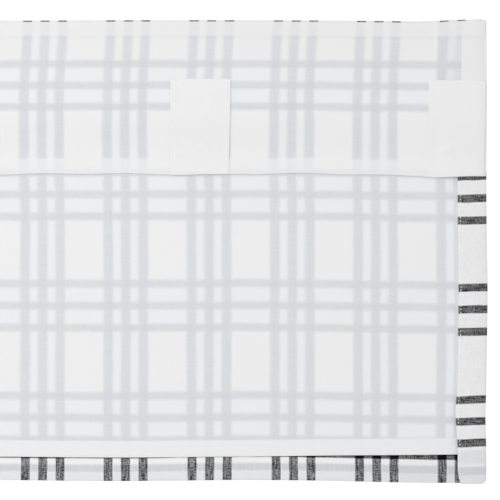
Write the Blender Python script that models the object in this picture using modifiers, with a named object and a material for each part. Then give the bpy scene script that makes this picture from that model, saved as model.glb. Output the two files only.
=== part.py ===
"""A lined window valance of plaid cloth, hanging straight down from its top edge.

+X runs along the valance, +Z is up, and the lined back with the pocket band and the tabs faces -Y.
The origin is the middle of the top edge. Each sheet of cloth is an open surface, folded from its
flat cut by the functions below and given its thickness by Solidify.
"""

import math

import bmesh
import bpy

# Finished size of the valance, in metres.
WIDTH = 1.524
DROP = 0.381

# Every sheet of cloth, and the air between two sheets that lie on each other.
SHEET = 0.001
GAP = 0.0003
LAYER = SHEET + GAP

# Face cloth: hems turned to the back, and the seam allowance along the top.
SIDE_HEM = 0.0236
BOTTOM_HEM = 0.0247
SEAM_ALLOWANCE = 0.012
HEM_SLIP = 0.0034
HEM_CORNER = 0.0055

# Lining: tucked under the side hems and under the pocket band, and hanging over the bottom hem.
LINING_TUCK = 0.0055
LINING_TOP = 0.118
LINING_BOTTOM = 0.3612
LINING_HEM = 0.0132
LINING_END_RISE = 0.0019

# Pocket band: the facing that makes the rod pocket.
BAND_TOP = 0.0008
BAND_BOTTOM = 0.1288
BAND_HEM = 0.0132
BAND_END_HEM = 0.0210
POCKET_DEPTH = 0.0062
POCKET_OPENS = (0.013, 0.033)
POCKET_CLOSES = (0.098, 0.1156)

# Back tabs, placed from each end of the valance inward.
TABS = 8
TAB_WIDTH = 0.0500
TAB_TOP = 0.0489
TAB_BOTTOM = 0.1262
TAB_PITCH = 0.2130
TAB_INSET = 0.0235
TAB_DEPTH = 0.0049
TAB_SEAT = 0.004
TAB_RISE = 0.016
TAB_END_MARGIN = 0.0005

# Layers, counted from the face cloth towards the back. The band lies on the seam allowances along
# the top and on the lining at its foot, and climbs over the side hems at its two ends.
HEM_LAYER = 1
LINING_LAYER = 3
SIDE_HEM_LAYER = 4
BAND_TOP_LAYER = 3
BAND_FOOT_LAYER = 5
BAND_END_LAYER = 6
CLIMB_STARTS = 0.045
CLIMB_ENDS = 0.027

# How the cloth hangs: soft waves that grow towards the bottom hem, and uneven long edges.
SWAY_STARTS = 0.10
SWAYS = (
    {"depth": 0.0013, "length": 0.66, "start": 0.4},
    {"depth": 0.0006, "length": 0.41, "start": 2.1},
)
TOP_EDGE_WAVE = {"depth": 0.0005, "length": 0.47, "start": 1.0}
BOTTOM_EDGE_WAVE = {"depth": 0.0007, "length": 0.37, "start": 5.2}
BAND_EDGE_WAVE = {"depth": 0.0008, "length": 0.29, "start": 3.0}

# How finely the sheets are divided.
COLUMNS = 28
TURN_STEPS = 4
PANEL_ROWS = 12
LINING_ROWS = 8

HALF_WIDTH = WIDTH / 2


def smooth(value, start, end):
    """0 before start, 1 after end, and a soft S-curve between them."""
    share = min(max((value - start) / (end - start), 0.0), 1.0)
    return share * share * (3 - 2 * share)


def wave(x, shape):
    """Height of a sine wave along the valance."""
    return shape["depth"] * math.sin(2 * math.pi * x / shape["length"] + shape["start"])


def steps(start, end, count):
    """count + 1 evenly spaced numbers from start to end."""
    return [start + (end - start) * index / count for index in range(count + 1)]


def fold(run, straight, radius):
    """(Place, height) of a point that lies run along cloth which is straight and then turns back."""
    past = run - straight
    if past <= 0:
        return run, 0.0
    turn = math.pi * radius
    if past < turn:
        return straight + radius * math.sin(past / radius), radius * (1 - math.cos(past / radius))
    return straight - (past - turn), 2 * radius


def fold_runs(straight, radius, flap, flap_steps):
    """Runs along the cloth at which a fold and its flap are divided, without the fold's first line."""
    turn = math.pi * radius
    bend = steps(straight, straight + turn, TURN_STEPS)[1:]
    return bend + steps(straight + turn, straight + turn + flap, flap_steps)[1:]


def hang(x, down, height):
    """Point of the hanging valance: x along it, down from its top edge, height towards its back."""
    fall = max(0.0, down - SWAY_STARTS) / (DROP - SWAY_STARTS)
    sway = fall * sum(wave(x, shape) for shape in SWAYS)
    share = down / DROP
    lift = (1 - share) * wave(x, TOP_EDGE_WAVE) + share * wave(x, BOTTOM_EDGE_WAVE)
    return (x, sway - height, lift - down)


def columns(half_width):
    """Places along the valance where a full-width sheet is divided, closer together at its ends."""
    inner = HALF_WIDTH - CLIMB_STARTS
    climb = steps(inner, HALF_WIDTH - CLIMB_ENDS, 3)[1:]
    ends = [place for place in climb if place < half_width] + [half_width]
    return [-place for place in reversed(ends)] + steps(-inner, inner, COLUMNS) + ends


def material(name, colour, roughness):
    """Principled material of a woven cloth."""
    cloth = bpy.data.materials.new(name)
    cloth.use_nodes = True
    shader = cloth.node_tree.nodes["Principled BSDF"]
    shader.inputs["Base Color"].default_value = (*colour, 1.0)
    shader.inputs["Roughness"].default_value = roughness
    shader.inputs["Metallic"].default_value = 0.0
    return cloth


def sheet(name, across, down, place, cloth, cut_away=None):
    """Sheet of cloth: a grid over the flat cut, without the faces in cut_away, put in place point by
    point and given its thickness."""
    grid = bmesh.new()
    bmesh.ops.create_grid(grid, x_segments=len(across) - 1, y_segments=len(down) - 1, size=1)
    for vertex in grid.verts:
        column = round((vertex.co.x + 1) / 2 * (len(across) - 1))
        row = round((1 - vertex.co.y) / 2 * (len(down) - 1))
        vertex.co = (across[column], down[row], 0.0)
    if cut_away:
        corners = [face for face in grid.faces if cut_away(face.calc_center_median())]
        bmesh.ops.delete(grid, geom=corners, context="FACES")
    for vertex in grid.verts:
        vertex.co = place(vertex.co.x, vertex.co.y)
    mesh = bpy.data.meshes.new(name)
    grid.to_mesh(mesh)
    grid.free()
    mesh.shade_smooth()
    mesh.set_sharp_from_angle(angle=math.radians(40))
    mesh.materials.append(cloth)
    piece = bpy.data.objects.new(name, mesh)
    parts.objects.link(piece)
    thickness = piece.modifiers.new("Thickness", "SOLIDIFY")
    thickness.thickness = SHEET
    thickness.offset = 0.0
    thickness.use_rim = True
    return piece


def face_cloth():
    """Plaid panel with its bottom hem and seam allowance turned back, and its side hems over them."""
    side_radius = SIDE_HEM_LAYER * LAYER / 2
    end_radius = HEM_LAYER * LAYER / 2
    half_panel = HALF_WIDTH - side_radius - SHEET / 2
    top = end_radius + SHEET / 2
    bottom = DROP - end_radius - SHEET / 2

    side_runs = fold_runs(half_panel, side_radius, SIDE_HEM - side_radius - SHEET / 2, 2)
    across = [-run for run in reversed(side_runs)] + columns(half_panel) + side_runs
    top_runs = fold_runs(0.0, end_radius, SEAM_ALLOWANCE, 1)
    bottom_runs = fold_runs(bottom, end_radius, BOTTOM_HEM, 2)
    down = [top - run for run in reversed(top_runs)] + steps(top, bottom, PANEL_ROWS) + bottom_runs

    def cut_away(flat):
        return abs(flat.x) > half_panel and not top < flat.y < bottom

    def place(run_across, run_down):
        x, side_height = fold(abs(run_across), half_panel, side_radius)
        if run_down < top:
            back, end_height = fold(top - run_down, 0.0, end_radius)
            fallen = top - back
        else:
            fallen, end_height = fold(run_down, bottom, end_radius)
        over_side = max(0.0, HALF_WIDTH - x) if side_height > side_radius else 0.0
        slip = HEM_SLIP * smooth(over_side, 0.0, HEM_CORNER)
        return hang(math.copysign(x, run_across), fallen + slip, side_height + end_height)

    return sheet("face_cloth", across, down, place, material("plaid_cotton", (0.72, 0.72, 0.72), 0.9),
                 cut_away)


def lining():
    """Plain panel whose foot is turned inward, and whose lower edge rises a little at its two ends."""
    radius = LAYER / 2
    half_panel = HALF_WIDTH - LINING_TUCK
    foot = LINING_BOTTOM - radius - SHEET / 2
    down = steps(LINING_TOP, foot, LINING_ROWS) + fold_runs(foot, radius, LINING_HEM, 1)

    def place(x, run_down):
        fallen, turned = fold(run_down, foot, radius)
        rise = LINING_END_RISE * smooth(abs(x), HALF_WIDTH - 0.16, HALF_WIDTH - SIDE_HEM)
        share = smooth(fallen, LINING_TOP, LINING_BOTTOM)
        return hang(x, fallen - rise * share, LINING_LAYER * LAYER - turned)

    return sheet("lining", columns(half_panel), down, place,
                 material("white_lining", (0.82, 0.82, 0.81), 0.92))


def band_rows():
    """Distances below the top edge at which the flat part of the band is divided."""
    top = BAND_TOP + LAYER / 2 + SHEET / 2
    opening = steps(POCKET_OPENS[0], POCKET_OPENS[1], 4)
    closing = steps(POCKET_CLOSES[0], POCKET_CLOSES[1], 4)
    foot = BAND_BOTTOM - LAYER / 2 - SHEET / 2
    return [top] + opening + [TAB_TOP, (TAB_TOP + POCKET_CLOSES[0]) / 2] + closing + [foot]


def band_height(x, down):
    """Height of the middle of the band above the face cloth: seated along its top and its foot, and
    standing out between them so that a rod passes over the side hems."""
    middle_layer = BAND_TOP_LAYER + (BAND_FOOT_LAYER - BAND_TOP_LAYER) * smooth(
        down, POCKET_OPENS[0], POCKET_CLOSES[1])
    climb = smooth(abs(x), HALF_WIDTH - CLIMB_STARTS, HALF_WIDTH - CLIMB_ENDS)
    seat = LAYER * (middle_layer + (BAND_END_LAYER - middle_layer) * climb)
    out = SIDE_HEM_LAYER * LAYER + SHEET + POCKET_DEPTH
    opened = smooth(down, *POCKET_OPENS) * (1 - smooth(down, *POCKET_CLOSES))
    return seat + (out - seat) * opened


def band_point(x, down, height):
    """Point on or near the band, whose lower edge is a little wavy."""
    edge = wave(x, BAND_EDGE_WAVE) * smooth(down, POCKET_CLOSES[0], BAND_BOTTOM)
    return hang(x, down + edge, height)


def pocket_band():
    """Facing with its seam allowance, its bottom hem and, between these, its end hems turned inward."""
    radius = LAYER / 2
    half_band = HALF_WIDTH - radius - SHEET / 2
    end_runs = fold_runs(half_band, radius, BAND_END_HEM - radius - SHEET / 2, 2)
    across = [-run for run in reversed(end_runs)] + columns(half_band) + end_runs
    rows = band_rows()
    top, foot = rows[0], rows[-1]
    top_runs = fold_runs(0.0, radius, SEAM_ALLOWANCE - BAND_TOP, 1)
    down = [top - run for run in reversed(top_runs)] + rows + fold_runs(foot, radius, BAND_HEM, 1)

    def cut_away(flat):
        return abs(flat.x) > half_band and not POCKET_OPENS[0] < flat.y < POCKET_CLOSES[1]

    def place(run_across, run_down):
        x, end_turned = fold(abs(run_across), half_band, radius)
        if run_down < top:
            back, turned = fold(top - run_down, 0.0, radius)
            fallen = top - back
        else:
            fallen, turned = fold(run_down, foot, radius)
        x = math.copysign(x, run_across)
        return band_point(x, fallen, band_height(x, fallen) - turned - end_turned)

    return sheet("pocket_band", across, down, place,
                 material("white_band", (0.83, 0.83, 0.82), 0.92), cut_away)


def tab_centres():
    """Middles of the tabs, from the left end to the right end."""
    right = [HALF_WIDTH - TAB_INSET - TAB_PITCH * index for index in range(TABS // 2)]
    return [-place for place in right] + right[::-1]


def tab(name, centre, cloth):
    """Back tab: sewn to the band along its top and its foot, and standing out as a loop between."""
    reach = HALF_WIDTH - TAB_END_MARGIN
    left = max(centre - TAB_WIDTH / 2, -reach)
    right = min(centre + TAB_WIDTH / 2, reach)
    across = [left] + [place for place in columns(reach) if left < place < right] + [right]
    own_rows = steps(TAB_TOP + TAB_SEAT, TAB_TOP + TAB_SEAT + TAB_RISE, 3)
    band = [row for row in band_rows() if own_rows[-1] < row < TAB_BOTTOM]
    down = [TAB_TOP] + own_rows + band + [TAB_BOTTOM]
    lands = (POCKET_CLOSES[1] - TAB_RISE, POCKET_CLOSES[1])

    def place(x, run_down):
        loop = smooth(run_down, own_rows[0], own_rows[-1]) * (1 - smooth(run_down, *lands))
        height = band_height(x, run_down) + LAYER + TAB_DEPTH * loop
        return band_point(x, run_down, height)

    return sheet(name, across, down, place, cloth)


for old in list(bpy.data.objects):
    bpy.data.objects.remove(old, do_unlink=True)
parts = bpy.data.collections.new("window_valance")
bpy.context.scene.collection.children.link(parts)

face_cloth()
lining()
pocket_band()
tab_cloth = material("white_tab", (0.84, 0.84, 0.82), 0.92)
for number, centre in enumerate(tab_centres(), start=1):
    tab(f"tab_{number}", centre, tab_cloth)
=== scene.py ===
import math
from functools import partial

import bpy
import numpy as np
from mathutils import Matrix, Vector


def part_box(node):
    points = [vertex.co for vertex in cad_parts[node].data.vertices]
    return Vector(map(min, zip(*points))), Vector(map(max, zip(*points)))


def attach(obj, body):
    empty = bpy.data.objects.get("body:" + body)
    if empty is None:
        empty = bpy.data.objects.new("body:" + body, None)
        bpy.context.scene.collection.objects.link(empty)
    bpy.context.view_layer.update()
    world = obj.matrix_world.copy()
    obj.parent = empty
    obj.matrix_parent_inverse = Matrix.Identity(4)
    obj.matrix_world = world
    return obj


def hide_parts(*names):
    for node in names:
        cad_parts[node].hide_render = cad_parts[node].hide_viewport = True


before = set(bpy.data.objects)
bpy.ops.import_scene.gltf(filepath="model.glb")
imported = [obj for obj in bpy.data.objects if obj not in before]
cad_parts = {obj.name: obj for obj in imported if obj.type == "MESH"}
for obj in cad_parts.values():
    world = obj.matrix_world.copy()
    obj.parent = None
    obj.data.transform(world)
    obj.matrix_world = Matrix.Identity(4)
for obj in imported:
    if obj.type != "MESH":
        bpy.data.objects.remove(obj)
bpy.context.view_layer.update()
scene = bpy.context.scene
show = scene.collection.objects.link

# A lined plaid window valance hanging flat, seen on its back: pocket band, tabs, lining, and the face
# cloth's hems turned over it. +X runs along it, +Z is up, and the back faces -Y.

mm = 0.001
faceLow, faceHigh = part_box("face_cloth")
endX = (faceHigh.x - faceLow.x) / 2

# How the whole valance hangs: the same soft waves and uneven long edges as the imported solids. A reach is
# where something near the ends starts and where it is whole, from the end.
hung = {
    "drop": 381 * mm,
    "layer": 1.3 * mm,  # between the middles of two sheets in the solids
    "plaidCloth": 0.45 * mm,  # thickness of each cloth
    "whiteCloth": 0.35 * mm,
    "swayStarts": 100 * mm,
    "sways": [(1.3 * mm, 660 * mm, 0.4), (0.6 * mm, 410 * mm, 2.1)],  # height, length, start
    "topEdge": [(0.3 * mm, 470 * mm, 1.0)],
    "bottomEdge": [(0.4 * mm, 218.7 * mm, 4.2)],
    "endDroop": (0.65 * mm, 2.3 * mm),  # how much lower the ends hang, at the top and at the foot
    "droopReach": (150 * mm, 5 * mm),
    "cornerLift": 1.6 * mm,  # the top corners, pulled up by their bulk of layers
    "cornerReach": (55 * mm, 15 * mm),
    "cornerDepth": 40 * mm,  # how far down that goes
    "endBulges": [(1.0 * mm, 225 * mm, 48 * mm), (-0.7 * mm, 326 * mm, 18 * mm)],  # outward, down, reach
    "bulgeReach": 60 * mm,
    "uneven": (3, 45 * mm, 160 * mm, 0.2 * mm),  # the panel: seed, shortest and longest wave, height
}

# The woven plaid, measured on the flat cut of the face cloth from its middle line and its top fold.
plaid = {
    "acrossMiddle": endX - 22.9 * mm,  # middle stripe of the triple stripe nearest the right edge
    "acrossRepeat": 68.9 * mm,
    "acrossPitch": 14.5 * mm,
    "acrossWidth": 7.4 * mm,
    "downMiddle": 51.8 * mm,
    "downRepeat": 92.35 * mm,
    "downPitch": 18.2 * mm,
    "downWidth": 6.6 * mm,
    "wander": 1.1 * mm,  # how far a stripe strays
    "wanderScale": (22.0, 22.0, 1.0),
    "lean": 2.75 * mm,  # how far the warp leans aside at the top seam, against its place below
    "leanDown": (0.0, 75 * mm),
    "leanBack": 0.75 * mm,  # and how far to the other side it lies there
    "leanEnds": (110 * mm, 160 * mm),  # where both fade out
    "low": 3.0 * mm,  # how much lower the weft lies at the top
    "lowDown": (20 * mm, 145 * mm),
    "high": 0.33 * mm,  # and how much higher across the middle
    "highDown": (200 * mm, 285 * mm, 15 * mm),  # from, to, softness
    "groupEdge": (-2 * mm, 6 * mm),  # where a triple stripe's ground fades out, past its outer stripe
}


def ease(value, start, end):
    # 0 before start, 1 after end, t * t * (3 - 2 t) between them
    share = np.clip((value - start) / (end - start), 0, 1)
    return share * share * (3 - 2 * share)


def nearEnds(x, starts, whole=0.0):
    # Eases |x| in from starts before either end of the valance to whole before it
    return ease(np.abs(x), endX - starts, endX - whole)


def bell(value, middle, reach):
    # exp(-((value - middle) / reach)^2)
    return np.exp(-((value - middle) / reach) ** 2)


def waves(x, table):
    # Sum of height * sin(2 pi x / length + start)
    return sum(height * np.sin(2 * math.pi * x / length + start) for height, length, start in table)


def droop(x, down):
    # Mixed from the ends' droop at the top and at the foot, less the lift of the top corners
    high, low = hung["endDroop"]
    share = down / hung["drop"]
    corner = nearEnds(x, *hung["cornerReach"]) * (1 - ease(down, 0, hung["cornerDepth"]))
    lower = (high + (low - high) * share) * nearEnds(x, *hung["droopReach"])
    return lower - hung["cornerLift"] * corner


def bulge(x, down):
    # Sum of outward * bell(down) at the ends, fading to none further in
    total = sum(out * bell(down, middle, reach) for out, middle, reach in hung["endBulges"])
    return np.sign(x) * total * nearEnds(x, hung["bulgeReach"])


def hang(x, down, height):
    # (x + bulge, sway - height, edge - down - droop): the sway grows linearly below swayStarts, and the
    # edge goes from the top's waves to the foot's
    drop, starts = hung["drop"], hung["swayStarts"]
    fall = np.clip(down - starts, 0, None) / (drop - starts)
    share = down / drop
    edge = (1 - share) * waves(x, hung["topEdge"]) + share * waves(x, hung["bottomEdge"])
    place = (x + bulge(x, down), fall * waves(x, hung["sways"]) - height, edge - down - droop(x, down))
    return np.stack(place, axis=-1)


def walk(start, sense, legs):
    # A line along the cloth: each leg is (length, half turns, steps). A straight leg adds length along the
    # heading, and a bent one of radius r = length / angle adds r (sin, 1 - cos) from its first heading to
    # its last. Rows: place, height, place on the flat cut, heading
    place, height, flat, heading = 0.0, 0.0, 0.0, 0.0
    found = []
    for length, halfTurns, count in legs:
        gone = np.linspace(0, length, count + 1)[1:]
        angle = heading + math.pi * halfTurns * gone / length
        if halfTurns:
            radius = length / (math.pi * halfTurns)
            along = radius * (np.sin(angle) - math.sin(heading))
            up = radius * (math.cos(heading) - np.cos(angle))
        else:
            along, up = gone * math.cos(heading), gone * math.sin(heading)
        rows = (start + sense * (place + along), height + up, start + sense * (flat + gone), angle)
        found.append(np.array(rows))
        place, height = place + along[-1], height + up[-1]
        flat, heading = flat + length, angle[-1]
    return np.concatenate(found, axis=1)


def stepped(first, *marks):
    # Places from first on, reaching each mark (place, count) in count even steps
    places = np.array([first])
    for place, count in marks:
        places = np.append(places, np.linspace(places[-1], place, count + 1)[1:])
    return places


def section(places, lowLegs=(), highLegs=()):
    # Straight through the places, with legs walked on from either end. Rows as in walk
    parts = [np.array([places, 0 * places, places, 0 * places])]
    if lowLegs:
        parts.insert(0, walk(places[0], -1, lowLegs)[:, ::-1])
    if highLegs:
        parts.append(walk(places[-1], 1, highLegs))
    return np.concatenate(parts, axis=1)


def turnLeg(radius, steps=6):
    return (math.pi * radius, 1, steps)  # half a turn round that radius


def creaseHeight(x, down, table):
    # Sum of height * exp(-(along / length)^2 - (across / wide)^2), each at its own angle
    total = np.zeros(np.broadcast(x, down).shape)
    for atX, atDown, degrees, length, wide, height in table:
        c, s = math.cos(math.radians(degrees)), math.sin(math.radians(degrees))
        along = (x - atX) * c + (down - atDown) * s
        across = (down - atDown) * c - (x - atX) * s
        total = total + height * np.exp(-(along / length) ** 2 - (across / wide) ** 2)
    return total


def unevenness(x, down, seed, shortest, longest, height, count=9):
    # Sum of count sine waves in random directions, each height / sqrt(count) high
    rng = np.random.default_rng(seed)
    total = np.zeros(np.broadcast(x, down).shape)
    for _ in range(count):
        turn, start = rng.uniform(0, math.pi), rng.uniform(0, 2 * math.pi)
        number = 2 * math.pi / rng.uniform(shortest, longest)
        total = total + np.sin(number * (x * math.cos(turn) + down * math.sin(turn)) + start)
    return total * height / math.sqrt(count)


def middles(values):
    return (values[1:] + values[:-1]) / 2  # halfway between neighbours


def spread(across, down):
    return np.broadcast_arrays(across[None, :], down[:, None])  # both at each point of a grid


def meshOf(name, points, faces, maps=None):
    # A smooth piece from its points, its faces and, for each UV map, a place for each point
    made = bpy.data.meshes.new(name)
    made.from_pydata(points.reshape(-1, 3).tolist(), [], faces)
    for mapName, places in (maps or {}).items():
        layer = made.uv_layers.new(name=mapName)
        corner = np.zeros(len(made.loops), np.int32)
        made.loops.foreach_get("vertex_index", corner)
        layer.data.foreach_set("uv", places[corner].astype(np.float32).ravel())
    made.shade_smooth()
    piece = bpy.data.objects.new(name, made)
    show(piece)
    return piece


def clothPiece(name, points, across, down, thickness, kept=None, maps=None):
    # A sheet: a grid of points with four to a face, its UV maps and its thickness. across and down are
    # sections. Returns the piece, its flat size and the flat area of its kept faces
    rows, columns = points.shape[:2]
    index = np.arange(rows * columns).reshape(rows, columns)
    corners = np.stack([index[:-1, :-1], index[1:, :-1], index[1:, 1:], index[:-1, 1:]], axis=-1)
    kept = np.ones((rows - 1, columns - 1), bool) if kept is None else kept
    areas = np.abs(np.diff(down[2])[:, None] * np.diff(across[2])[None, :])
    used, faces = np.unique(corners[kept], return_inverse=True)
    flat = {"Cut": spread(across[2], down[2]), **(maps or {})}
    flat = {mapName: np.stack(places, axis=-1).reshape(-1, 2)[used] for mapName, places in flat.items()}
    piece = meshOf(name, points.reshape(-1, 3)[used], faces.reshape(-1, 4).tolist(), flat)
    solid = piece.modifiers.new("Thickness", "SOLIDIFY")
    solid.thickness = thickness
    solid.offset = 0
    return piece, (float(np.ptp(across[2])), float(np.ptp(down[2]))), float(areas[kept].sum())


def linear(hexColour):
    # sRGB hex to linear: c / 12.92 below 0.04045, else ((c + 0.055) / 1.055) ^ 2.4
    parts = [int(hexColour[i:i + 2], 16) / 255 for i in (1, 3, 5)]
    return tuple(c / 12.92 if c <= 0.04045 else ((c + 0.055) / 1.055) ** 2.4 for c in parts) + (1.0,)


def fill(tree, node, inputs):
    # A node's inputs, in order or by name or place, each a value or a socket to link
    for place, value in inputs.items() if isinstance(inputs, dict) else enumerate(inputs):
        if isinstance(value, bpy.types.NodeSocket):
            tree.links.new(value, node.inputs[place])
        else:
            node.inputs[place].default_value = value


def addNode(tree, inputs, kind, output=0, **settings):
    # A node with its settings and inputs. Returns one of its outputs
    made = tree.nodes.new("ShaderNode" + kind)
    for name, value in settings.items():
        setattr(made, name, value)
    fill(tree, made, inputs)
    return made.outputs[output]


# The nodes that are used most: arithmetic, a soft step, a blend of two colours, and a vector's two places
operations = ("ADD", "SUBTRACT", "MULTIPLY", "MINIMUM", "MAXIMUM", "ABSOLUTE")
plus, minus, times, least, most, positive = ({"kind": "Math", "operation": name} for name in operations)
soft = {"kind": "MapRange", "interpolation_type": "SMOOTHSTEP"}
blend = {"kind": "Mix", "output": 2, "data_type": "RGBA"}
split = {"kind": "SeparateXYZ", "output": slice(2)}


def newMaterial(name, roughness):
    # Matt, with little gloss. Also returns what fills its shader and what adds its nodes
    made = bpy.data.materials.new(name)
    made.use_nodes = True
    tree = made.node_tree
    wear = partial(fill, tree, tree.nodes["Principled BSDF"])
    wear({"Roughness": roughness, "Specular IOR Level": 0.1})
    return made, wear, partial(addNode, tree)


def between(add, value, low, high, edge):
    # 1 between low and high, fading to 0 over edge on either side
    rising = add((value, low - edge, low + edge), **soft)
    falling = add((value, high - edge, high + edge, 1.0, 0.0), **soft)
    return add((rising, falling), **times)


def lumps(add, vector, scale, detail=2.0, move=0.0):
    # Soft lumps, 1 / scale metres long in each direction
    moved = add({"Vector": vector, "Location": (move, move, 0), "Scale": scale}, "Mapping")
    return add({"Vector": moved, "Scale": 1.0, "Detail": detail, "Roughness": 0.6}, "TexNoise")


def crossed(add, vector, kind, across, along, moves):
    # Lumps, 1 / across by 1 / along metres and the same the other way round, joined by a node
    ways = ((across, along, 1.0), (along, across, 1.0))
    return add([lumps(add, vector, scale, 2.0, move) for scale, move in zip(ways, moves)], **kind)


def tripleStripe(add, near, pitch, stripeWidth, edge):
    # near is the distance to the middle of three stripes, so the nearest is the smaller of near and
    # |near - pitch| away. The mask falls from 1 to 0 as that passes half a stripe's width
    side = add((add((near, pitch), **minus),), **positive)
    nearest = add((near, side), **least)
    return add((nearest, stripeWidth / 2 - edge, stripeWidth / 2 + edge, 1.0, 0.0), **soft)


def strayed(add, vector, move):
    # (lumps - 0.5) * 2 * wander
    loose = add((lumps(add, vector, plaid["wanderScale"], 4.0, move), 0.5), **minus)
    return add((loose, 2 * plaid["wander"]), **times)


def plaidMasks(add, vector, edge, wider=0.0):
    # Warp and weft stripes and the ground inside their groups. The warp leans aside near the top seam, and
    # the weft lies lower there and a little higher across the middle
    across, down = add((vector,), **split)
    lean = add((down, *plaid["leanDown"], plaid["lean"], 0.0), **soft)
    lean = add((lean, -plaid["leanBack"]), **plus)
    leanEnds = add((down, *plaid["leanEnds"], 1.0, 0.0), **soft)
    across = add((across, add((lean, leanEnds), **times)), **minus)
    across = add((across, strayed(add, vector, 3.7)), **plus)
    low = add((down, *plaid["lowDown"], plaid["low"], 0.0), **soft)
    high = add((between(add, down, *plaid["highDown"]), plaid["high"]), **times)
    down = add((add((down, low), **minus), high), **plus)
    down = add((down, strayed(add, vector, 8.1)), **plus)
    found = []
    for place, way in ((across, "across"), (down, "down")):
        pitch, stripeWidth = plaid[way + "Pitch"], plaid[way + "Width"] + wider * (way == "across")
        inner, outer = plaid["groupEdge"]
        near = add((place, plaid[way + "Middle"]), **minus)
        near = add((near, plaid[way + "Repeat"] / 2), "Math", operation="PINGPONG")
        found.append(tripleStripe(add, near, pitch, stripeWidth, edge))
        found.append(add((near, pitch + inner, pitch + outer, 1.0, 0.0), **soft))
    warp, warpGroup, weft, weftGroup = found
    return warp, weft, add((warpGroup, weftGroup), **most)


def weaveBump(add, cut, look):
    # Plain weave: sin(pi x / thread) * sin(pi y / thread), one yarn over and one under, with slubs
    waved = []
    for place in add((cut,), **split):
        turned = add((place, math.pi / look["thread"]), **times)
        waved.append(add((turned,), "Math", operation="SINE"))
    weave = add((add(waved, **times), 0.4), **times)
    surface = add((weave, crossed(add, cut, plus, *look["slubs"])), **plus)
    return add({"Strength": 0.6, "Distance": look["relief"], "Height": surface}, "Bump")


# The plaid cotton's yarns, how the layer that its hems hide greys the one over it, and the painted shade
# and painted light on its hems.
yarn = {
    "roughness": 0.95,
    "thread": 0.4 * mm,
    "relief": 0.12 * mm,
    "slubs": (60.0, 900.0, (0.0, 5.3)),  # to a metre across and along, and where each way's begin
    "streaks": (900.0, 90.0, (1.3, 2.9)),
    "stripeEdge": 0.5 * mm,
    "dark": "#0B0B12",
    "white": "#F0F0F0",
    "thickWhite": "#E9E9EB",  # along its thicker yarns
    # painted light: the turned bottom hem is whiter, against the shade under the lining's edge
    "litHemWhite": "#F3F3F4",
    "grey": "#D3D4D7",
    "flecked": (0.76, 1.24),  # from where to where flecks of white open a stripe
    "warpCover": (0.99, 0.56),  # the share of dark yarn, with no flecks and with the most
    "weftCover": (1.0, 0.72),
    "bandEdge": 1.7 * mm,
    "hemBandReach": (3 * mm, 3.4 * mm),  # above and below the face cloth's hemBand
    "flapBandReach": (3.6 * mm, 3.8 * mm),
    "flapShade": 0.44,
    "flapShadeEdge": 1.3 * mm,
    "foot": 0.36,  # painted shade, fainter, below those bands towards the fold
    "footEdge": 1.2 * mm,
    "footStarts": 1 * mm,  # above the hem's fold
    "flapFootEnds": 9 * mm,  # below it
    "endShade": 0.22,  # painted shade of the bottom hem, near the ends
    "endReach": (140 * mm, 30 * mm),
    "hemEdge": 2 * mm,
}


def greyedShare(add, cut):
    # The turned-in layer of each hem greys the one over it in a soft band where its stripe lies. Below
    # those bands and near the ends of the bottom hem it adds painted shade. Returns that share, and 1 on
    # the turned part of the bottom hem
    across, down = add((cut,), **split)
    fromMiddle = add((across,), **positive)
    onFlap = add((fromMiddle, endX - 1 * mm, endX + 1 * mm), **soft)
    drop, edge = hung["drop"], yarn["bandEdge"]
    hem, flap = face["hemBand"], face["flapBand"]
    above, below = yarn["hemBandReach"]
    uneven = lumps(add, cut, (320.0, 50.0, 1.0), 3.0, 9.4)
    uneven = add((uneven, 0.3, 0.7, 0.8, 1.15), **soft)
    greyed = add((uneven, between(add, down, hem - above, hem + below, edge)), **times)
    above, below = yarn["flapBandReach"]
    flapBand = add((onFlap, between(add, down, flap - above, flap + below, edge)), **times)
    flapShade = between(add, down, *face["flapShade"], yarn["flapShadeEdge"])
    for share in (onFlap, yarn["flapShade"]):
        flapShade = add((flapShade, share), **times)
    # Painted shade below those bands, towards the hems' fold
    edge = yarn["footEdge"]
    hemFoot = between(add, down, drop - yarn["footStarts"], hem, edge)
    flapFoot = between(add, down, flap, drop + yarn["flapFootEnds"], edge)
    footShade = add((hemFoot, add((onFlap, flapFoot), **times)), **most)
    footShade = add((footShade, yarn["foot"]), **times)
    for other in (flapBand, footShade, flapShade):
        greyed = add((greyed, other), **most)
    # Painted shade of the bottom hem near the ends
    starts, whole = yarn["endReach"]
    ends = (fromMiddle, endX - starts, endX - whole, 0.0, yarn["endShade"])
    onHem = add((down, drop, drop + yarn["hemEdge"]), **soft)
    nearEnd = add((add(ends, **soft), onHem), **times)
    return add((greyed, nearEnd), **plus), onHem


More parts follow.
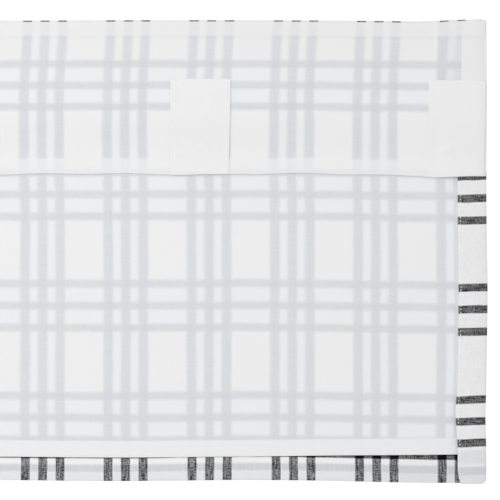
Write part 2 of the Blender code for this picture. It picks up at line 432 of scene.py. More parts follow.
def plaidCotton():
    # Yarn-dyed cotton: blue-black yarn crossed by white, so that a stripe is charcoal with pale flecks and
    # only a crossing of two stripes is full black
    made, wear, add = newMaterial("yarnDyedPlaidCotton", yarn["roughness"])
    cut = add((), "UVMap", uv_map="Cut")
    warp, weft, _ = plaidMasks(add, cut, yarn["stripeEdge"])
    # White yarn shows in a dark stripe as streaks and flecks, 1 mm wide so that the render shows them
    uncovered = []
    for stripe, cover, streaks, flecks, moves in (
            (warp, yarn["warpCover"], (950.0, 90.0, 1.0), (300.0, 1100.0, 1.0), (0.0, 2.2)),
            (weft, yarn["weftCover"], (90.0, 950.0, 1.0), (1100.0, 300.0, 1.0), (6.2, 7.7))):
        white = (lumps(add, cut, streaks, 3.0, moves[0]), lumps(add, cut, flecks, 3.0, moves[1]))
        white = add(white, **plus)
        dark = add((white, *yarn["flecked"], *cover), **soft)
        dark = add((stripe, dark), **times)
        uncovered.append(add((1.0, dark), **minus))
    bare = add(uncovered, **times)
    crossing = add((warp, weft), **times)
    bare = add((bare, add((1.0, crossing), **minus)), **times)
    greyed, onHem = greyedShare(add, cut)
    streaks = add((crossed(add, cut, times, *yarn["streaks"]), 0.12, 0.4), **soft)
    white, thick = linear(yarn["white"]), linear(yarn["thickWhite"])
    white = add({0: streaks, 6: white, 7: thick}, **blend)
    # Painted light: the turned bottom hem is a lighter white
    white = add({0: onHem, 6: white, 7: linear(yarn["litHemWhite"])}, **blend)
    white = add({0: greyed, 6: white, 7: linear(yarn["grey"])}, **blend)
    colour = add({0: bare, 6: linear(yarn["dark"]), 7: white}, **blend)
    wear({"Base Color": colour, "Normal": weaveBump(add, cut, yarn)})
    return made


# What the two thin white cloths share. Each one's own look lists the rest.
whiteYarn = {
    "roughness": 0.95,
    "ground": "#EFEFEF",
    "tint": "#EDEEF0",  # of the ground inside a triple stripe
    "thread": 0.35 * mm,
    "relief": 0.05 * mm,
    "slubs": (60.0, 900.0, (0.0, 5.3)),
    "streaks": (650.0, 45.0, (0.0, 4.4)),
    "stripeEdge": 1.9 * mm,  # softer and wider than the plaid's, as seen through the cloth
    "stripeSpread": 0.6 * mm,
    "lastReach": (7 * mm, 5 * mm),  # before the end hem, where the last warp stripe grows fainter
    "endEdge": 0.6 * mm,
    "shadeReach": (21.5 * mm, 18.5 * mm),
    "seamFades": (1 * mm, 1.4 * mm),  # above and below the lower edge of the seam allowance
    "seamEdge": (2.6 * mm, 0.6 * mm),  # how wide that edge shows, and how softly
    "hemFades": 0.9 * mm,
}


def whiteCotton(name, look):
    # White cotton so thin that the plaid behind it greys it softly wherever it is one layer. Where
    # shadeAbove is set, its upper part also gets painted shade, darker down to shadeEnds
    look = {**whiteYarn, **look}
    made, wear, add = newMaterial(name, look["roughness"])
    behind = add((), "UVMap", uv_map="Behind")
    cut = add((), "UVMap", uv_map="Cut")
    warp, weft, group = plaidMasks(add, behind, look["stripeEdge"], look["stripeSpread"])
    across, down = add((cut,), **split)
    fromMiddle = add((across,), **positive)
    inner, edge = endX - look["endHem"], look["endEdge"]
    top, foot = look["shown"]
    above, below = look["seamFades"]
    shown = add((down, top - above, top + below, look["faint"], 1.0), **soft)
    inHem = (down, foot - look["hemSoft"], foot + look["hemSoft"], 1.0, look["inHem"])
    for fading in (inHem, (fromMiddle, inner - edge, inner + edge, 1.0, look["atEnd"])):
        shown = add((shown, add(fading, **soft)), **times)
    starts, whole = look["lastReach"]
    last = add((fromMiddle, inner - starts, inner - whole, 1.0, look["lastStripe"]), **soft)
    warp = add((warp, last), **times)
    # Uneven yarns streak the stripes both ways
    streaks = add((crossed(add, cut, times, *look["streaks"]), 0.12, 0.4, 1.12, 0.88), **soft)
    one = add((add((warp, weft), **most), 1 - look["crossing"]), **times)
    two = add((add((warp, weft), **times), look["crossing"]), **times)
    starts, whole = look["shadeReach"]
    nearEnd = add((fromMiddle, inner - starts, inner - whole, 0.0, look["endShade"]), **soft)
    shade = add((add((one, two), **plus), nearEnd), **plus)
    shade = add((shade, add((shown, streaks), **times)), **times)
    wide, edge = look["seamEdge"]
    seam = add((between(add, down, top, top + wide, edge), look["allowanceEdge"]), **times)
    shade = add((shade, seam), **plus)
    tinted = add((group, shown), **times)
    ground = add({0: tinted, 6: linear(look["ground"]), 7: linear(look["tint"])}, **blend)
    # Doubled cloth is a little darker; above shadeEnds, shadeAbove paints shade with the same colour
    edge = look["hemFades"]
    upper = add((down, top, top + look["shadeEnds"], look["shadeAbove"], 0.0), **soft)
    lower = add((down, foot - edge, foot + edge, 0.0, look["thickBelow"]), **soft)
    doubledOrShaded = add((upper, lower), **most)
    ground = add({0: doubledOrShaded, 6: ground, 7: linear(look["thick"])}, **blend)
    colour = add({0: shade, 6: ground, 7: linear(look["shadow"])}, **blend)
    wear({"Base Color": colour, "Normal": weaveBump(add, cut, look)})
    return made


def plainCotton(name, look):
    # White cotton in two layers, or thread: nothing shows through it
    made, wear, add = newMaterial(name, look["roughness"])
    place = add((), "TexCoord", output="Object")
    slubs = lumps(add, place, (700.0, 700.0, 700.0), 3.0)
    bump = add({"Strength": 0.4, "Distance": 0.06 * mm, "Height": slubs}, "Bump")
    wear({"Base Color": linear(look["colour"]), "Normal": bump})
    return made


def finish(piece, material, nodes=()):
    # A piece's material, body and slot, and the nodes that it stands for
    piece.data.materials.append(material)
    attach(piece, "root")
    if nodes:
        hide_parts(*nodes)


thread = {
    "colour": "#F4F4F4",
    "roughness": 0.7,
    "stitch": 2.3 * mm,
    "pitch": 3.0 * mm,
    "thick": 0.4 * mm,
    "bold": 0.7 * mm,  # on the side hems
    "fine": 0.3 * mm,  # on the lining and the tabs
    "sink": 0.12 * mm,
    "sides": 6,
    "rings": 5,
}


def stitchRows(name, lines, outward, material, thick=thread["thick"]):
    # One capsule per stitch along each line of points: rings of radius r(t) = thick / 2 * sqrt(sin(pi t)),
    # bowed out of the cloth by sin(pi t), with a point at either end
    sides, levels = thread["sides"], thread["rings"]
    share = np.linspace(0, 1, levels + 2)
    found = []
    for points in lines:
        length = np.concatenate([[0], np.cumsum(np.linalg.norm(np.diff(points, axis=0), axis=1))])
        starts = np.linspace(0, length[-1] - thread["stitch"], int(length[-1] / thread["pitch"]))
        at = starts[:, None] + share[None, :] * thread["stitch"]
        found.append(np.stack([np.interp(at, length, points[:, axis]) for axis in range(3)], axis=-1))
    line, out = np.concatenate(found), np.array([0, outward, 0.0])
    line = line + (thick * 0.5 * np.sin(math.pi * share) - thread["sink"])[None, :, None] * out
    along = line[:, -1] - line[:, 0]
    side = np.cross(along / np.linalg.norm(along, axis=1)[:, None], out)
    angles = np.arange(sides) * 2 * math.pi / sides
    radii = thick / 2 * np.sqrt(np.sin(math.pi * share[1:-1]))
    ring = (np.cos(angles)[None, None, :, None] * side[:, None, None, :]
            + np.sin(angles)[None, None, :, None] * out[None, None, None, :])
    rings = line[:, 1:-1, None, :] + radii[None, :, None, None] * ring
    block = np.concatenate([line[:, :1], rings.reshape(len(line), -1, 3), line[:, -1:]], axis=1)
    first, last = np.arange(sides), 1 + levels * sides
    after, level = np.roll(first, -1), 1 + sides * np.arange(levels - 1)[:, None]
    this, turn = level + first, level + after
    quads = np.stack([this, turn, turn + sides, this + sides], axis=-1).reshape(-1, 4)
    opening = np.stack([0 * first, 1 + after, 1 + first], axis=-1)
    closing = np.stack([0 * first + last, last - sides + first, last - sides + after], axis=-1)
    moved = np.arange(len(line))[:, None, None] * block.shape[1]
    tips = np.concatenate([opening, closing])
    faces = (quads[None] + moved).reshape(-1, 4).tolist() + (tips[None] + moved).reshape(-1, 3).tolist()
    piece = meshOf(name, block, faces)
    finish(piece, material)
    return piece


face = {
    "column": 4 * mm,
    "row": 5 * mm,
    "sideHem": 23.6 * mm,
    "sideHeight": 5.2 * mm,  # of the side hem over the panel
    "sideTurn": 0.35 * mm,  # radius of the fold at its inner edge
    "turned": (0.2 * math.pi, 0.9 * math.pi),  # the headings between which the panel becomes a side hem
    "sideInside": 8 * mm,  # how much narrower its turned-in layer is
    "bottomHem": 24 * mm,
    "hemHeight": 1.15 * mm,
    "hemInside": 20 * mm,
    "seam": 12 * mm,
    "hemClear": (0.6 * mm, 2 * mm),  # the turned-in layers keep clear of each other by this
    "hemSlip": (0.5 * mm, 0.5 * mm),  # the bottom hem is turned aside, and its plaid lies high
    "hemStray": [(0.7 * mm, 420 * mm, 4.6)],  # unevenly aside, and unevenly high
    "hemRise": [(0.42 * mm, 420 * mm, 5.01)],
    "slip": 2.4 * mm,  # the side hems are turned a little low
    "footDraw": (1.6 * mm, 30 * mm),  # and their feet drawn up: by, over which length
    "plaidSlip": (1.35 * mm, 0.7 * mm),  # how low the plaid lies there, and lower at their inner edge
    "plaidDraw": (1.0 * mm, 293 * mm, 348 * mm),  # and is drawn up there: by, from, to
    "hemBand": 391.2 * mm,  # on the flat cut: where a hidden stripe greys the bottom hem
    "flapBand": 370.4 * mm,  # and the side hems' feet
    "flapShade": (353.4 * mm, 364.6 * mm),  # and where one more layer does so
    "corner": (5 * mm, 12 * mm),  # the lower corners: radius, and how far up it is taken in
    "flare": (2.5 * mm, 370 * mm, 385 * mm),  # their inner edge moves out at the foot: by, from, to
    "nip": (1.4 * mm, 323 * mm, 17 * mm),  # and in higher up: by, middle, half length
    "tilt": (1.1 * mm, 11 * mm),  # the side hems fall off towards the fold, over that width
    "topstitch": 1.8 * mm,  # from the side hem's inner edge
    "groove": (0.3 * mm, 1.1 * mm),  # that the stitches lie in: depth, half width
    "pucker": (0.16 * mm, 1.5 * mm, 3 * mm),  # that they draw up: height, distance, half width
    "puckers": [(0.6, 11 * mm, 0.3), (0.4, 7.3 * mm, 1.9), (0.5, 29 * mm, 0.0)],
    "hemStitch": 358.4 * mm,
}
faceFoot = hung["drop"] - face["hemHeight"] / 2 - hung["plaidCloth"] / 2
seamX = endX - face["sideHem"] + face["topstitch"]


def panelUneven(x, down):
    return unevenness(x, down, *hung["uneven"])  # the layers over the panel share it


def facePoints(across, down):
    # Two sections: the one across carries, along its own normal, the height of the one down. Also gives
    # the flat places
    sense, heading = np.sign(across[0])[None, :], across[3][None, :]
    x = across[0][None, :] - sense * np.sin(heading) * down[1][:, None]
    height = across[1][None, :] + np.cos(heading) * down[1][:, None]
    fallen = down[0][:, None] + 0 * x
    turned, plaidTurned = ease(heading, *face["turned"]), ease(heading, 0, math.pi / 2)
    hemmed = ease(down[3], 0, math.pi)[:, None]
    over = np.clip(endX - np.abs(x), 0, None)
    share = np.clip(over / face["sideHem"], 0, 1)
    drawn, reach = face["footDraw"]
    slip = turned * (face["slip"] - drawn * ease(fallen, faceFoot - reach, faceFoot))
    low, more = face["plaidSlip"]
    aside, up = face["hemSlip"]
    up = up + waves(x, face["hemRise"])
    drawn, starts, ends = face["plaidDraw"]
    cutDown = down[2][:, None] + slip - plaidTurned * (low + more * share) - up * hemmed
    cutDown = cutDown + drawn * turned * ease(fallen, starts, ends) * (1 - hemmed)
    cutAcross = across[2][None, :] - (aside + waves(x, face["hemStray"])) * hemmed
    radius, reach = face["corner"]
    past = np.clip(np.abs(x) - endX + radius, 0, radius)
    corner = (radius - np.sqrt(radius ** 2 - past ** 2)) * ease(fallen, faceFoot - reach, faceFoot)
    fallen = fallen + slip - corner
    (flare, *flareReach), (nip, *nipReach) = face["flare"], face["nip"]
    x = x + sense * turned * share * (flare * ease(fallen, *flareReach) - nip * bell(fallen, *nipReach))
    fromSeam = endX - over - seamX
    (groove, grooveReach), (pucker, *puckerReach) = face["groove"], face["pucker"]
    pucker = pucker * bell(fromSeam, *puckerReach)
    groove = groove * bell(fromSeam, 0, grooveReach) + pucker * waves(fallen, face["puckers"])
    tilt, reach = face["tilt"]
    height = height - turned * (groove + tilt * (1 - ease(over, 0, reach)))
    return hang(x, fallen, height + panelUneven(x, fallen)), (cutAcross, cutDown)


def makeFaceCloth():
    # Across: straight, and at each side turned back twice. Down: seam allowance, panel and a double hem
    half, cloth = face["sideHeight"] / 2, hung["plaidCloth"]
    straight = endX - half - cloth / 2
    flap = face["sideHem"] - half - cloth / 2 - face["sideTurn"]
    legs = [turnLeg(half, 12), (flap, 0, 8), turnLeg(face["sideTurn"], 4)]
    legs += [(flap - face["sideInside"], 0, 4)]
    across = section(stepped(-straight, (straight, round(2 * straight / face["column"]))), legs, legs)
    radius = face["hemHeight"] / 2
    top = hung["layer"] / 2 + cloth / 2
    hem = [turnLeg(radius), (face["bottomHem"], 0, 8), turnLeg(radius / 2, 4)]
    hem += [(face["hemInside"], 0, 3)]
    seam = [turnLeg(hung["layer"] / 2), (face["seam"], 0, 3)]
    down = section(stepped(top, (faceFoot, round((faceFoot - top) / face["row"]))), seam, hem)
    points, cut = facePoints(across, down)
    midAcross, midDown = spread(np.abs(middles(across[2])), middles(down[2]))
    inward = straight + math.pi * half + flap
    clear, above = face["hemClear"]
    kept = ~((midAcross > straight) & (midDown < top))
    kept &= ~((midAcross > inward) & (midDown > faceFoot))
    kept &= ~((midAcross > inward + clear) & (midDown > faceFoot - face["bottomHem"] - above))
    made = clothPiece("faceCloth", points, across, down, cloth, kept, {"Cut": cut})
    finish(made[0], plaidCotton(), ["face_cloth"])
    return made


def faceLine(xs, downs, flap):
    # A line on the outer side of the face cloth, on the panel or on a side hem
    xs, downs = np.atleast_1d(xs), np.atleast_1d(downs)
    across = np.array([xs, 0 * xs + face["sideHeight"] * flap, xs, 0 * xs + math.pi * flap])
    down = np.array([downs, 0 * downs - hung["plaidCloth"] / 2, downs, 0 * downs])
    return facePoints(across, down)[0].reshape(-1, 3)


lining = {
    "tuck": 5.5 * mm,
    "top": 118 * mm,
    "bottom": 361.5 * mm,
    "hem": 13.2 * mm,
    "endRise": 4.1 * mm,
    "riseReach": (215 * mm, 10 * mm),
    "heights": (3.9 * mm, 2.4 * mm),  # over the panel, above and where it lies on the bottom hem
    "comesDown": (300 * mm, 352 * mm),  # between those two
    "sinks": 0.4 * mm,  # where it goes in under the side hems
    "sinkReach": (34 * mm, 25 * mm),
    "turn": 0.3 * mm,
    "rows": 60,
    "look": {
        "shadow": "#D9DADD",
        "thick": "#EEEEEF",  # where it is two layers
        "crossing": 0.17,  # how much darker a crossing of two stripes is
        "shown": (0, 347.8 * mm),  # on its flat cut, where the plaid shows through
        "faint": 1.0,  # and how much of it above that, in the hem and at the ends
        "inHem": 0.04,
        "atEnd": 0.4,
        "hemSoft": 0.9 * mm,
        "endHem": 25.5 * mm,
        "lastStripe": 1.0,  # of the last warp stripe
        "endShade": 0.0,
        "shadeAbove": 0.0,
        "shadeEnds": 1 * mm,
        "thickBelow": 1.0,
        "allowanceEdge": 0.0,
    },
}


def liningPlace(x, down):
    # Its lower edge rises towards the two ends
    share = ease(down, lining["top"], lining["bottom"])
    return down - lining["endRise"] * nearEnds(x, *lining["riseReach"]) * share


def liningHeight(x, down):
    # Lower at the foot, and lower where it goes in under the side hems
    high, low = lining["heights"]
    high = high - lining["sinks"] * nearEnds(x, *lining["sinkReach"])
    return high + (low - high) * ease(down, *lining["comesDown"]) + panelUneven(x, down)


def makeLining():
    # A straight section with its foot turned inward
    half = endX - lining["tuck"]
    foot = lining["bottom"] - lining["turn"] - hung["whiteCloth"] / 2
    across = section(stepped(-half, (half, round(2 * half / face["column"]))))
    places = stepped(lining["top"], (foot, lining["rows"]))
    down = section(places, (), [turnLeg(lining["turn"]), (lining["hem"], 0, 5)])
    x, fallen = spread(across[0], down[0])
    place = liningPlace(x, fallen)
    points = hang(x, place, liningHeight(x, fallen) - down[1][:, None])
    cloth = hung["whiteCloth"]
    made = clothPiece("liningPanel", points, across, down, cloth, None, {"Behind": (x, place)})
    finish(made[0], whiteCotton("thinLiningCotton", lining["look"]), ["lining"])
    return made


band = {
    "top": 1.2 * mm,
    "endTop": 0.5 * mm,  # over the two side hems
    "topReach": (18.5 * mm, 15 * mm),
    "topDepth": 12 * mm,
    "bottom": 127.4 * mm,
    "endDrop": 0.45 * mm,  # how much lower its lower edge hangs over the side hems
    "dropReach": (56 * mm, 38 * mm),
    "dropStarts": 70 * mm,
    "edge": [(0.45 * mm, 190 * mm, 3.0), (0.4 * mm, 71 * mm, 1.2)],
    "hem": 13.2 * mm,
    "endHem": 21 * mm,
    "seam": 11.2 * mm,
    "turn": 0.35 * mm,
    "clear": 1 * mm,  # that the end hems and the foot hem keep
    "heights": (2.6 * mm, 5.15 * mm, 6.6 * mm),  # over the panel: at the top, the foot and the side hems
    "seatReach": (45 * mm, 27 * mm),
    "peak": 12.4 * mm,
    "opens": (13 * mm, 60 * mm),
    "closes": (78 * mm, 115.6 * mm),
    "endBend": 1.5 * mm,  # the last of the ends bends inward
    "bendReach": 9 * mm,
    "loose": (8, 30 * mm, 120 * mm, 0.2 * mm),  # where open: seed, shortest and longest wave, height
    "stitch": 125.5 * mm,
    "ridgePitch": 1.66 * mm,
    "ridgeStarts": (2.2 * mm, 1.2 * mm),  # above the stitches
    "ridge": 0.14 * mm,
    "fineEnd": 12 * mm,  # finer columns near the ends, and finer rows near the stitches
    "endColumns": 12,
    "fineFoot": 3 * mm,
    "rows": (72, 14),
    "look": {
        "shadow": "#D6D7DB",
        # thick also serves as the painted shade of its upper part, from the top down to shadeEnds
        "thick": "#ECECEC",
        "crossing": 0.24,
        "shown": (12.8 * mm, 114.6 * mm),
        "faint": 0.42,
        "inHem": 0.28,
        "atEnd": 0.08,
        "hemSoft": 1.9 * mm,
        "endHem": 21 * mm,
        "lastStripe": 0.45,
        "endShade": 0.28,
        # painted shade: its upper part is darker, fading out at shadeEnds
        "shadeAbove": 1.0,
        "shadeEnds": 66 * mm,
        "thickBelow": 0.0,
        "allowanceEdge": 0.14,
    },
}


def bandHeight(x, down):
    # Seat height, rising over the side hems near both ends, blended to the peak between opens and closes,
    # and bent inward at the very ends. Where it is seated it is as uneven as the panel
    high, low, end = band["heights"]
    middle = high + (low - high) * ease(down, band["opens"][0], band["closes"][1])
    seat = middle + (end - middle) * nearEnds(x, *band["seatReach"])
    opened = ease(down, *band["opens"]) * (1 - ease(down, *band["closes"]))
    bend = band["endBend"] * nearEnds(x, band["bendReach"]) ** 2
    loose = unevenness(x, down, *band["loose"])
    return seat + (band["peak"] - seat + loose) * opened + panelUneven(x, down) * (1 - opened) - bend


def ridges(down, height):
    # height * (1 - cos(2 pi (down - stitch) / pitch)) / 2, starting softly a little above the stitches
    wave = (1 - np.cos(2 * math.pi * (down - band["stitch"]) / band["ridgePitch"])) / 2
    starts, whole = band["ridgeStarts"]
    return height * wave * ease(down, band["stitch"] - starts, band["stitch"] - whole)


def bandSurface(x, down):
    # With the ridges that its row of stitches draws up
    return bandHeight(x, down) + ridges(down, band["ridge"])


def bandPlace(x, down):
    # Its lower edge is wavy and hangs lower over the side hems, where its top edge sits higher
    edge = waves(x, band["edge"]) * ease(down, band["closes"][0], band["bottom"])
    drop = band["endDrop"] * nearEnds(x, *band["dropReach"])
    rise = (band["top"] - band["endTop"]) * nearEnds(x, *band["topReach"])
    fall = drop * ease(down, band["dropStarts"], band["bottom"])
    return down + edge + fall - rise * (1 - ease(down, 0, band["topDepth"]))


def makeBand():
    # Two sections, with the seam allowance, the foot hem and the end hems turned inward
    radius, cloth = band["turn"], hung["whiteCloth"]
    half = endX - radius - cloth / 2
    endHem = [turnLeg(radius), (band["endHem"] - band["clear"], 0, 5)]
    end, fine = half - band["fineEnd"], band["endColumns"]
    columns = round(2 * half / face["column"]) - fine // 2
    across = section(stepped(-half, (-end, fine), (end, columns), (half, fine)), endHem, endHem)
    top, foot = band["top"] + radius + cloth / 2, band["bottom"] - radius - cloth / 2
    places = stepped(top, *zip((band["stitch"] - band["fineFoot"], foot), band["rows"]))
    down = section(places, [turnLeg(radius), (band["seam"], 0, 3)], [turnLeg(radius), (band["hem"], 0, 8)])
    x, fallen = spread(across[0], down[0])
    place = bandPlace(x, fallen)
    points = hang(x, place, bandSurface(x, fallen) - down[1][:, None] - across[1][None, :])
    midAcross, midDown = spread(np.abs(middles(across[2])), middles(down[2]))
    low = foot - band["hem"] - band["clear"]
    kept = ~((midAcross > half) & ((midDown < band["opens"][0]) | (midDown > low)))
    made = clothPiece("pocketBand", points, across, down, cloth, kept, {"Behind": (x, place)})
    finish(made[0], whiteCotton("thinBandCotton", band["look"]), ["pocket_band"])
    return made


tabs = {
    "colour": "#EEEEEE",
    "roughness": 0.95,
    "count": 8,
    "wide": 49.8 * mm,
    "taper": 1.5 * mm,  # to the foot, along its right side
    "top": 48.9 * mm,
    "bottom": 127.55 * mm,
    "pitch": 213 * mm,
    "inset": 23.5 * mm,
    "margin": 0.9 * mm,
    "turn": 0.135 * mm,
    "turned": 5 * mm,  # each side is turned under
    "fineSide": 7 * mm,  # finer columns near the sides
    "columns": (14, 26, 14),
    "rows": (70, 16),
    "topstitch": 2 * mm,  # from the top
    "stitchInset": 0.6 * mm,  # of its stitches, from the sides
    "cloth": 0.24 * mm,
    "seat": 0.64 * mm,  # over the band where it is sewn down
    "loop": 0.25 * mm,  # more, between
    "loopLeft": 0.35,  # the share of that at its left side
    "loopStarts": 7 * mm,  # below its top
    "loopEnds": (108 * mm, 119 * mm),
    "pressed": (0.9, 0.25, 86 * mm, 9 * mm),  # flat at its right: share, half width, down, half length
    "folds": [(0.16 * mm, 1.2 * mm, 0.7 * mm), (0.24 * mm, 3.6 * mm, 0.8 * mm)],  # height, inward, reach
    "foldsEnd": (112 * mm, 120 * mm),
    "ridge": 0.26 * mm,
    # Puckers, from its middle and its top: x, down, degrees, length, wide, height
    "puckers": [
        (-12 * mm, 13 * mm, 80, 7 * mm, 3 * mm, 0.4 * mm),
        (-13 * mm, 58 * mm, -30, 9 * mm, 3 * mm, 0.55 * mm),
        (-4 * mm, 62 * mm, 60, 6 * mm, 1.8 * mm, 0.2 * mm),
        (4 * mm, 57 * mm, 60, 8 * mm, 3 * mm, 0.5 * mm),
        (7 * mm, 20 * mm, 92, 9 * mm, 4 * mm, 0.5 * mm),
    ],
    "seed": 20,
    "varied": ((0.8, 1.15), (0.95, 1.03), (-8, 8), (0.7, 1.2)),  # x, down, degrees more, height
}


def tabCentres():
    # Pairs of places, a pitch apart from each end inward
    right = [endX - tabs["inset"] - tabs["pitch"] * step for step in range(tabs["count"] // 2)]
    return [-place for place in right] + right[::-1]


def tabSurface(number, centre, x, down, upper=1.0):
    # Seated on the band at its top and foot and a little off it between, mostly at one side. Its upper
    # layer has soft puckers, and pressed folds along either side
    share = np.clip((x - centre) / tabs["wide"] + 0.5, 0, 1)
    loop = ease(down, tabs["top"], tabs["top"] + tabs["loopStarts"])
    loop = loop * (1 - ease(down, *tabs["loopEnds"]))
    pressed, halfWide, atDown, halfLong = tabs["pressed"]
    pressed = 1 - pressed * np.exp(-((share - 1) / halfWide) ** 2 - ((down - atDown) / halfLong) ** 2)
    rng = np.random.default_rng(tabs["seed"] + number)
    byX, byDown, byAngle, byHeight = tabs["varied"]
    table = [(px * rng.uniform(*byX), pd * rng.uniform(*byDown), angle + rng.uniform(*byAngle),
              length, wide, height * rng.uniform(*byHeight))
             for px, pd, angle, length, wide, height in tabs["puckers"]]
    fromSide = tabs["wide"] / 2 - np.abs(x - centre)
    folds = sum(height * bell(fromSide, middle, reach) for height, middle, reach in tabs["folds"])
    left = tabs["loopLeft"]
    lift = tabs["seat"] + tabs["loop"] * (left + (1 - left) * share) * loop * pressed
    puckers = folds * (1 - ease(down, *tabs["foldsEnd"])) + ridges(down, tabs["ridge"])
    puckers = puckers + creaseHeight(x - centre, down - tabs["top"], table)
    return bandSurface(x, down) + lift + upper * puckers


def tabPlace(centre, x, down):
    # Its right side draws in towards the foot
    share = np.clip((x - centre) / tabs["wide"] + 0.5, 0, 1)
    return x - tabs["taper"] * share ** 2 * ease(down, tabs["top"], tabs["bottom"])


def makeTab(number, centre, material, sewing):
    # Its long sides and its top are turned under, and stitches cross its top and foot
    reach, fine = endX - tabs["margin"], tabs["fineSide"]
    radius, cloth = tabs["turn"], tabs["cloth"]
    left = max(centre - tabs["wide"] / 2, -reach) + radius + cloth / 2
    right = min(centre + tabs["wide"] / 2, reach) - radius - cloth / 2
    under = [turnLeg(radius, 5), (tabs["turned"], 0, 3)]
    places = (left + fine, right - fine, right)
    across = section(stepped(left, *zip(places, tabs["columns"])), under, under)
    head = tabs["top"] + radius + cloth / 2
    foot = (band["stitch"] - band["fineFoot"], tabs["bottom"])
    down = section(stepped(head, *zip(foot, tabs["rows"])), under)
    x, fallen = spread(across[0], down[0])
    x = tabPlace(centre, x, fallen)
    upper = np.cos(across[3] / 2)[None, :] ** 2 * np.cos(down[3] / 2)[:, None] ** 2
    height = tabSurface(number, centre, x, fallen, upper) - across[1][None, :] - down[1][:, None]
    # The turned-in sides begin at the top fold, and their flat parts below what it turns in
    turn, midDown = spread(middles(across[3]), middles(down[2]))
    kept = ~((turn > 0.1) & (midDown < head))
    kept &= ~((turn > 0.65 * math.pi) & (midDown < head + tabs["turned"]))
    made = clothPiece(f"tab{number}", hang(x, bandPlace(x, fallen), height), across, down, cloth, kept)
    finish(made[0], material, [f"tab_{number}"])
    lines, inset = [], tabs["stitchInset"]
    for stitched in (tabs["top"] + tabs["topstitch"], band["stitch"]):
        x = tabPlace(centre, np.linspace(left + inset, right - inset, 60), stitched)
        height = tabSurface(number, centre, x, stitched) + cloth / 2
        lines.append(hang(x, bandPlace(x, stitched), height))
    return made + (stitchRows(f"tab{number}Stitches", lines, -1, sewing, thread["fine"]),)


# Where the long rows of stitches run, and how many points guide each.
runs = {
    "fromEnd": 3 * mm,
    "fromSeam": 4 * mm,
    "sideTop": 131 * mm,  # below the pocket band
    "frontTop": 3 * mm,
    "foot": 379.5 * mm,
    "liningHem": 1.2 * mm,  # from the upper edge of the lining's hem
    "acrossPoints": 380,
    "sidePoints": 100,
    "frontPoints": 150,
}


def makeRows(material):
    # The face cloth's rows at its side hems, its bottom hem and the pocket's foot, then the band's row and
    # the lining's
    fromEnd, fromSeam = endX - runs["fromEnd"], seamX - runs["fromSeam"]
    white = hung["whiteCloth"] / 2
    along = np.linspace(-fromEnd, fromEnd, runs["acrossPoints"])
    inside = np.linspace(-fromSeam, fromSeam, runs["acrossPoints"])
    below = np.linspace(runs["sideTop"], runs["foot"], runs["sidePoints"])
    whole = np.linspace(runs["frontTop"], runs["foot"], runs["frontPoints"])
    backSides = [faceLine(side * seamX, below, 1) for side in (-1, 1)]
    frontSides = [faceLine(side * seamX, whole, 0) for side in (-1, 1)]
    hemmed = lining["bottom"] - lining["hem"] + runs["liningHem"]
    pocketLine = hang(along, bandPlace(along, band["stitch"]), bandSurface(along, band["stitch"]) + white)
    hemLine = hang(inside, liningPlace(inside, hemmed), liningHeight(inside, hemmed) + white)
    faceRows = [
        stitchRows("sideHemStitches", backSides, -1, material, thread["bold"]),
        stitchRows("frontSideStitches", frontSides, 1, material),
        stitchRows("frontHemStitches", [faceLine(inside, face["hemStitch"], 0)], 1, material),
        stitchRows("frontPocketStitches", [faceLine(along, band["stitch"], 0)], 1, material),
    ]
    bandRows = [stitchRows("pocketStitches", [pocketLine], -1, material)]
    liningRows = [stitchRows("liningHemStitches", [hemLine], -1, material, thread["fine"])]
    return faceRows, bandRows, liningRows


photoScale = 0.8283 * mm  # metres for each of the 500 pixels across the view
stage = {
    "floorDrop": 1.25,
    "floorRadius": 5.0,
    "floorCorners": 96,
    "floorPaint": ("#EDEDED", "#F2F2F2"),
    "floorRoughness": 0.85,
    "pixels": 500,
    "sensor": 36,
    "viewX": endX - 236.3 * photoScale,
    "viewZ": -229.5 * photoScale,
    "distance": 4.0,
    "roomGlow": 0.635,
    "sideGlow": 0.53,
    "seenGlow": 1.05,  # of the backdrop itself
    "keyPlace": (-0.3, 1.6, 0.35),  # of the back's panel: x, distance before the cloth, z
    "keyAim": (0.45, 0.0, -0.19),
    "keySize": 0.8,
    "keyPower": 9.6,
}


def makeStage():
    # A round floor, well below: radius * (cos, sin)
    angle = np.linspace(0, 2 * math.pi, stage["floorCorners"] + 1)[:-1]
    rim = stage["floorRadius"] * np.stack([np.cos(angle), np.sin(angle), 0 * angle], axis=-1)
    rim[:, 2] -= stage["floorDrop"]
    floor = meshOf("floor", rim, [list(range(stage["floorCorners"]))])
    paint, wear, add = newMaterial("paleFloorPaint", stage["floorRoughness"])
    grain = lumps(add, add((), "TexCoord", output="Object"), (3.0, 3.0, 1.0))
    dull, pale = (linear(colour) for colour in stage["floorPaint"])
    wear({"Base Color": add({0: grain, 6: dull, 7: pale}, **blend)})
    floor.data.materials.append(paint)


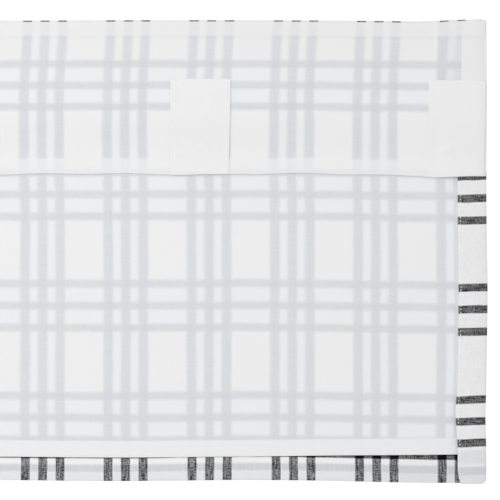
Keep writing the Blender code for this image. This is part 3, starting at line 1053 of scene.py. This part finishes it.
def makeLights():
    # A white room, brighter to either side (x^2 of the direction), and a soft panel before each face
    world = bpy.data.worlds.new("softWhiteStudio")
    scene.world = world
    world.use_nodes = True
    tree = world.node_tree
    tree.nodes.clear()
    add = partial(addNode, tree)
    seen = add((), "LightPath", output="Is Camera Ray")
    direction = add((), "TexCoord", output="Generated")
    across, _ = add((direction,), **split)
    sideways = add((add((across, across), **times), stage["sideGlow"]), **times)
    lighting = add((sideways, stage["roomGlow"]), **plus)
    backdrop = add((seen, stage["seenGlow"]), **times)
    strength = add((lighting, backdrop), **most)
    sky = add({"Color": (1, 1, 1, 1), "Strength": strength}, "Background")
    fill(tree, tree.nodes.new("ShaderNodeOutputWorld"), (sky,))
    for name, sense in (("keyBack", -1), ("keyFront", 1)):
        place = stage["keyPlace"] * np.array((-sense, sense, 1))
        aim = stage["keyAim"] * np.array((-sense, 1, 1))
        light = bpy.data.lights.new(name, "AREA")
        light.shape, light.size, light.energy = "SQUARE", stage["keySize"], stage["keyPower"]
        lamp = bpy.data.objects.new(name, light)
        show(lamp)
        lamp.visible_camera = False
        lamp.location = place
        reach = aim - place
        lift = math.acos(-reach[2] / np.linalg.norm(reach))
        lamp.rotation_euler = (lift, 0, math.atan2(-reach[0], reach[1]))


def makeCamera():
    # Square on to the back, in the photograph's frame
    lens = bpy.data.cameras.new("camera")
    lens.sensor_width = stage["sensor"]
    lens.lens = stage["sensor"] * stage["distance"] / (stage["pixels"] * photoScale)
    lens.clip_start, lens.clip_end = 0.1, 100
    camera = bpy.data.objects.new("camera", lens)
    show(camera)
    camera.location = (stage["viewX"], -stage["distance"], stage["viewZ"])
    camera.rotation_euler = (math.pi / 2, 0, 0)
    scene.camera = camera


makeCamera()
makeLights()
makeStage()
scene.view_settings.view_transform = "Standard"
print("stage ready")

threadCotton = plainCotton("whiteSewingThread", thread)
facePiece, faceFlat, faceArea = makeFaceCloth()
print("face cloth ready")
liningPiece, liningFlat, liningArea = makeLining()
print("lining ready")
bandPiece, bandFlat, bandArea = makeBand()
print("pocket band ready")
tabCotton = plainCotton("doubledTabCotton", tabs)
tabPieces = [makeTab(number, centre, tabCotton, threadCotton)
             for number, centre in enumerate(tabCentres(), start=1)]
print("tabs ready")
faceStitches, bandStitches, liningStitches = makeRows(threadCotton)
print("thread ready")
